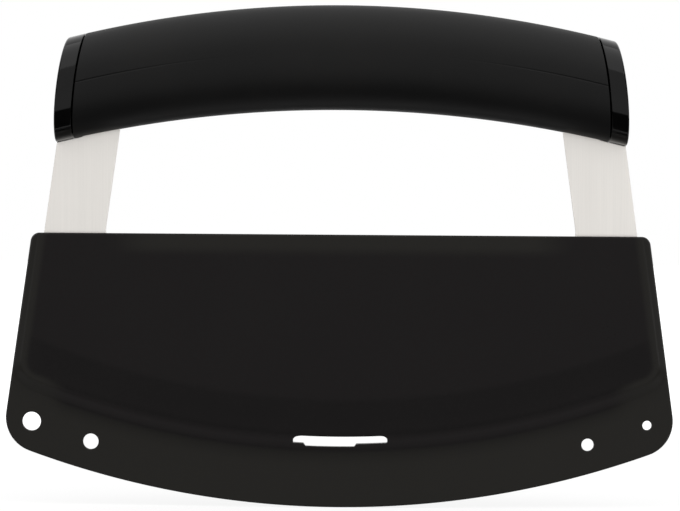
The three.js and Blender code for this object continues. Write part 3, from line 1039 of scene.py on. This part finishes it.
# arched grip: one rule gives the sleeve and both caps their section, arch and leaning ends
def gripRule():
    tree, given, sizes = newTree("archedGrip", gripSizes)
    (depth, partingDepth, topRadius, undersideRadius, endRadius, endAxis, seam, roundness,
     grooveDepth, grooveHalf, upperEdge, lowerEdgeSize) = sizes
    profile = Signal.add(tree, "GeometryNodeMeshToCurve", None, {"Mesh": given})
    around = gripMesh["around"]
    hoop = Signal.add(tree, "GeometryNodeCurvePrimitiveCircle", None, {"Resolution": around, "Radius": 0.1})
    index = Signal.add(tree, "GeometryNodeInputIndex")
    hoop = Signal.add(tree, "GeometryNodeStoreNamedAttribute", {"data_type": "FLOAT", "domain": "POINT"},
                      {"Geometry": hoop, "Name": "around", "Value": index / around})
    skin = Signal.add(tree, "GeometryNodeCurveToMesh", None, {"Curve": hoop, "Profile Curve": profile})

    def named(name, kind):
        return Signal.add(tree, "GeometryNodeInputNamedAttribute", {"data_type": kind}, {"Name": name})

    gathering = 0.45  # draws the mesh's lines together at the parting line
    turn = named("around", "FLOAT") * (2 * math.pi)
    turn = turn - gathering * (2 * turn).math("SINE")
    sine, cosine = turn.math("SINE"), turn.math("COSINE")
    station, inset, scale = axesOf(named("spot", "FLOAT_VECTOR"))
    edgeOut, edgeIn, seamIn = axesOf(named("edge", "FLOAT_VECTOR"))
    edgeSize = lowerEdgeSize + (upperEdge - lowerEdgeSize) * sine.ease(-0.9, 0.9)
    seamOpen = abs(sine).ease(0.985, 0.8)  # the seam closes at the top and underneath
    station = station + edgeOut * edgeSize
    inset = inset + edgeIn * edgeSize + seamIn * seamOpen
    lengthShare = (station / seam).atLeast(-1).atMost(1)
    power = 2 / roundness
    upDown = sine.math("SIGN") * abs(sine) ** power
    outward = cosine.math("SIGN") * abs(cosine) ** power
    above = sine.math("GREATER_THAN", 0.0)
    rise = 0.0
    for _ in range(5):  # height and leaning ends settle together
        x = station - lengthShare * (math.tan(gripEndLean) * rise + rise * rise / (2 * endRadius))
        topZ = gripTop - topRadius + (topRadius * topRadius - x * x).root()
        underZ = gripUnderside - undersideRadius + (undersideRadius * undersideRadius - x * x).root()
        waist = topZ - partingDepth
        half = above * partingDepth + (1 - above) * (waist - underZ)
        z = waist + (half - inset) * upDown * scale
        rise = z - endAxis
    grooveShare = abs(lengthShare).ease(0.35, 0.95)  # the parting line fades out towards the middle
    groove = grooveDepth * (1 - abs(z - waist) / grooveHalf).atLeast(0) * grooveShare
    y = (depth / 2 - inset - groove) * outward * scale
    endTree(moved(skin, combine(x, y, z)), finishes["grip"])
    return tree


def profileObject(name, spots, closed):
    # spots hold station, inset, scale, the share of an edge radius along and inwards, and a seam depth
    piece = meshObject(name, [], [])
    pairs = [(i, i + 1) for i in range(len(spots) - 1)] + ([(len(spots) - 1, 0)] if closed else [])
    piece.data.from_pydata([(s[0], s[1], 0) for s in spots], pairs, [])
    for label, first in (("spot", 0), ("edge", 3)):
        attribute = piece.data.attributes.new(label, "FLOAT_VECTOR", "POINT")
        attribute.data.foreach_set("vector", [float(value) for s in spots for value in s[first:first + 3]])
    return piece


def gripPieces(socket):
    c = capSizes
    tree = gripRule()
    endAxis, endStation, seam = gripEnds()
    sizes = {**gripSizes, "End Axis": endAxis, "Seam": seam}
    quarter = [math.radians(a) for a in range(0, 91, 15)]
    edgeRoom = c["edgeRoom"]

    along = np.linspace(-seam + edgeRoom, seam - edgeRoom, gripMesh["outside"])
    outer = [(x, 0, 1, 0, 0, 0) for x in along]
    rightEdge = [(seam, 0, 1, math.sin(a) - 1, 1 - math.cos(a), 0) for a in quarter]
    leftEdge = [(-s[0], s[1], 1, -s[3], s[4], 0) for s in reversed(rightEdge)]
    inner = [(x, c["sleeveWall"], 1, 0, 0, 0) for x in np.linspace(seam, -seam, gripMesh["inside"])]
    sleeve = growBy(profileObject("grip_rubber", leftEdge + outer + rightEdge + inner, True), tree, sizes)

    # a cap from its inner face outwards: the seam's groove, the side, a rounded edge and a crowned face
    start, face = seam + c["gap"], endStation - c["crown"]
    foot, flush, edge = seam + c["collarFoot"], c["collarInset"], c["seamEdge"]
    profile = [(foot, flush, s, 0, 0, c["collarDepth"]) for s in (0, 0.2, 0.4, 0.6, 0.8, 0.94, 1)]
    profile.append((seam + 0.6 * c["gap"], flush, 1, 0, 0, c["seamDepth"]))
    for a in quarter:
        inward = 1 - math.sin(a)
        profile.append((start + edge * (1 - math.cos(a)), flush * inward, 1, 0, 0, edge * inward))
    side = np.linspace(start + edgeRoom, face - c["faceRoom"], gripMesh["capSide"])
    profile += [(x, 0, 1, 0, 0, 0) for x in side]
    fine = [math.radians(a) for a in range(0, 91, 9)]
    profile += [(face, 0, 1, math.sin(a) - 1, 1 - math.cos(a), 0) for a in fine]
    crown = np.linspace(0.97, 0, gripMesh["capFace"])
    profile += [(face + c["crown"] * (1 - s * s), 0, s, 0, 1, 0) for s in crown]
    capInputs = {**sizes, **{key: c[key] for key in ("Upper Edge", "Lower Edge", "Groove Depth")}}
    right = growBy(profileObject("cap_right", profile, False), tree, capInputs)
    mirrored = [(-s[0], s[1], s[2], -s[3], *s[4:]) for s in profile]
    left = growBy(profileObject("cap_left", mirrored, False), tree, capInputs)
    carve(sleeve, [socket])
    return sleeve, right, left


finishes = {
    "sheath": sheathPlastic(),
    "blade": brushedSteel(),
    "grip": gripRubber(),
    "caps": polishedCap(),
    "core": corePlastic(),
}
print("materials:", len(finishes))

sheath = sheathSkin()
carve(sheath, [*bladeRoom(), drainCutter()])
growBy(sheath, herbHoles(), holeSizes)
handOver(sheath, "sheath", "sheath", "blade_sheath")

steel, legSocket = chopperSteel()
handOver(steel, "chopper", "blade", "chopper_blade")

sleeve, rightCap, leftCap = gripPieces(legSocket)
handOver(sleeve, "chopper", "grip", "grip_sleeve")
handOver(rightCap, "chopper", "caps", "right_end_cap")
handOver(leftCap, "chopper", "caps", "left_end_cap")

# the hidden CAD nodes stay, with their own finishes
for name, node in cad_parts.items():
    if name == "handle_core" or "tang_pin" in name:
        finish = finishes["core" if name == "handle_core" else "blade"]
        node.data.materials.clear()
        node.data.materials.append(finish)

# white studio, in metres
studio = {
    "cameraAside": -0.17 * mm,
    "cameraAway": 1.0,
    "cameraHeight": 80.55 * mm,
    "cameraRoll": -0.0072,
    "lens": 165.4,
    "sensor": 36,
    "worldLevel": 0.55,
    "floorHalf": 30,
    "floorTone": 0.5,
    # how much of the floor is plain white, and how white, seen by the camera and in reflections
    "seenGlow": 0.6,
    "seenWhite": 1.38,
    "mirroredGlow": 0.86,
    "mirroredWhite": 1.13,
    # the floor's shadow fades out between these distances
    "shadowReach": (0.15, 0.6),
    "flagTone": 0.004,
    "flagHeight": 0.3 * mm,
    "frontFlag": (-0.160, -0.007),
    "backFlag": (0.095, 0.250),
    "flagHalf": 0.34,
    "flagReach": 0.112,
    "sideFlagAt": 0.45,
    "sideFlagAlong": (-0.45, -0.04),
    "sideFlagRise": (0.112, 0.45),
    # place, target, size and power
    "softboxes": {
        "topSoftbox": ((0, -0.225, 0.8725), (0, 0.005, 0.127), (1.4, 1.2), 5.8),
        "leftSoftbox": ((-0.9, -0.7, 0.45), (0, 0, 0.08), (0.5, 0.8), 2.6),
        "rightSoftbox": ((0.9, -0.7, 0.45), (0, 0, 0.08), (0.5, 0.8), 4.2),
    },
}


def card(name, corners):
    flat = meshObject(name, corners, [(0, 1, 2, 3)])
    return flat


def raysSeen(tree):
    # rays from the camera, and rays that a glossy or clear surface sends on
    direct = Signal.add(tree, "ShaderNodeLightPath", output="Is Camera Ray")
    return direct, direct.beside("Is Glossy Ray").atLeast(direct.beside("Is Transmission Ray"))


def whiteWorld():
    world = bpy.data.worlds.new("studio")
    bpy.context.scene.world = world
    world.use_nodes = True
    tree = world.node_tree
    tree.nodes.clear()
    direct, mirrored = raysSeen(tree)
    level = mixTones(direct.atLeast(mirrored), tinted(studio["worldLevel"]), tinted(1.0))
    plugIn("ShaderNodeOutputWorld", Signal.add(tree, "ShaderNodeBackground", None, {"Color": level}))


def paleFloor():
    half = studio["floorHalf"]
    floor = card("floor", [(-half, -half, 0), (half, -half, 0), (half, half, 0), (-half, half, 0)])
    material, tree = newMaterial("paleFloor")
    paper = Signal.add(tree, "ShaderNodeBsdfDiffuse", None, {"Color": tinted(studio["floorTone"])})
    direct, mirrored = raysSeen(tree)
    white = direct * studio["seenWhite"] + mirrored * studio["mirroredWhite"]
    glow = Signal.add(tree, "ShaderNodeEmission", None, {"Color": tinted(1.0), "Strength": white})
    x, y, _ = axesOf(objectSpot(tree))
    farOut = (x * x + y * y).root().ease(*studio["shadowReach"])
    share = direct * farOut.atLeast(studio["seenGlow"]) + mirrored * studio["mirroredGlow"]
    underneath = Signal.add(tree, "ShaderNodeNewGeometry", output="Backfacing")
    clear = Signal.add(tree, "ShaderNodeBsdfTransparent")
    oneSided = mixShaders(underneath, mixShaders(share, paper, glow), clear)
    plugIn("ShaderNodeOutputMaterial", oneSided)
    floor.data.materials.append(material)


def blackFlags():
    # dark cards on the floor and beside the caps, which only reflections from as far off as the grip show
    material, tree = newMaterial("flagBlack")
    reach = Signal.add(tree, "ShaderNodeLightPath", output="Ray Length")
    clear = Signal.add(tree, "ShaderNodeBsdfTransparent")
    dark = Signal.add(tree, "ShaderNodeBsdfDiffuse", None, {"Color": tinted(studio["flagTone"])})
    share = reach.ease(0.95 * studio["flagReach"], studio["flagReach"])
    plugIn("ShaderNodeOutputMaterial", mixShaders(share, clear, dark))
    half, z = studio["flagHalf"], studio["flagHeight"]
    flags = []
    for name in ("frontFlag", "backFlag"):
        near, far = studio[name]
        flags.append(card(name, [(-half, near, z), (half, near, z), (half, far, z), (-half, far, z)]))
    near, far = studio["sideFlagAlong"]
    low, high = studio["sideFlagRise"]
    for name, x in (("leftFlag", -studio["sideFlagAt"]), ("rightFlag", studio["sideFlagAt"])):
        flags.append(card(name, [(x, near, low), (x, far, low), (x, far, high), (x, near, high)]))
    for flag in flags:
        flag.data.materials.append(material)
        flag.visible_camera = False
        flag.visible_shadow = False
        flag.visible_diffuse = False


def softbox(name, place, target, size, power):
    lamp = bpy.data.lights.new(name, "AREA")
    lamp.shape = "RECTANGLE"
    lamp.size, lamp.size_y = size
    lamp.energy = power
    light = bpy.data.objects.new(name, lamp)
    light.location = place
    light.rotation_euler = (Vector(target) - Vector(place)).to_track_quat("-Z", "Y").to_euler()
    light.visible_camera = False
    bpy.context.scene.collection.objects.link(light)


whiteWorld()
paleFloor()
blackFlags()
for name, settings in studio["softboxes"].items():
    softbox(name, *settings)
print("studio:", len(studio["softboxes"]), "softboxes")

lensData = bpy.data.cameras.new("camera")
lensData.lens = studio["lens"]
lensData.sensor_width = studio["sensor"]
camera = bpy.data.objects.new("camera", lensData)
camera.location = (studio["cameraAside"], -studio["cameraAway"], studio["cameraHeight"])
camera.rotation_euler = (math.pi / 2, studio["cameraRoll"], 0)
bpy.context.scene.collection.objects.link(camera)
bpy.context.scene.camera = camera
bpy.context.scene.view_settings.view_transform = "Standard"
